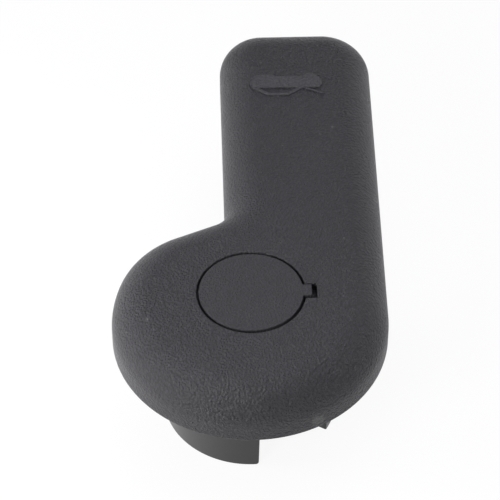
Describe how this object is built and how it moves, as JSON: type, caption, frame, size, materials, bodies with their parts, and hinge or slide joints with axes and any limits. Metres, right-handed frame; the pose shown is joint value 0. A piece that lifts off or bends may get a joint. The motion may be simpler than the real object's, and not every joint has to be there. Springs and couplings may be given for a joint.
{
  "type": "hood release handle",
  "caption": "Moulded hood release handle: round head, flat lever arm, C-shaped collar below, snap-in cap over its fixing screw.",
  "frame": {"origin": "on the turning axis, at the plane of the head's lower rim", "axes": "+Z along the turning axis out of the face, +Y along the arm towards its tip"},
  "size_m": [0.0576, 0.1147, 0.0336],
  "materials": {
    "body_plastic": "black plastic with a fine leather grain, satin and smooth on the collar",
    "cap_plastic": "black plastic with a very fine matt texture",
    "screw_steel": "zinc plated",
    "washer_steel": "zinc plated"
  },
  "bodies": {
    "root": {"handle_body": "body_plastic", "cover_cap": "cap_plastic", "fixing_screw": "screw_steel", "screw_washer": "washer_steel"}
  },
  "joints": []
}
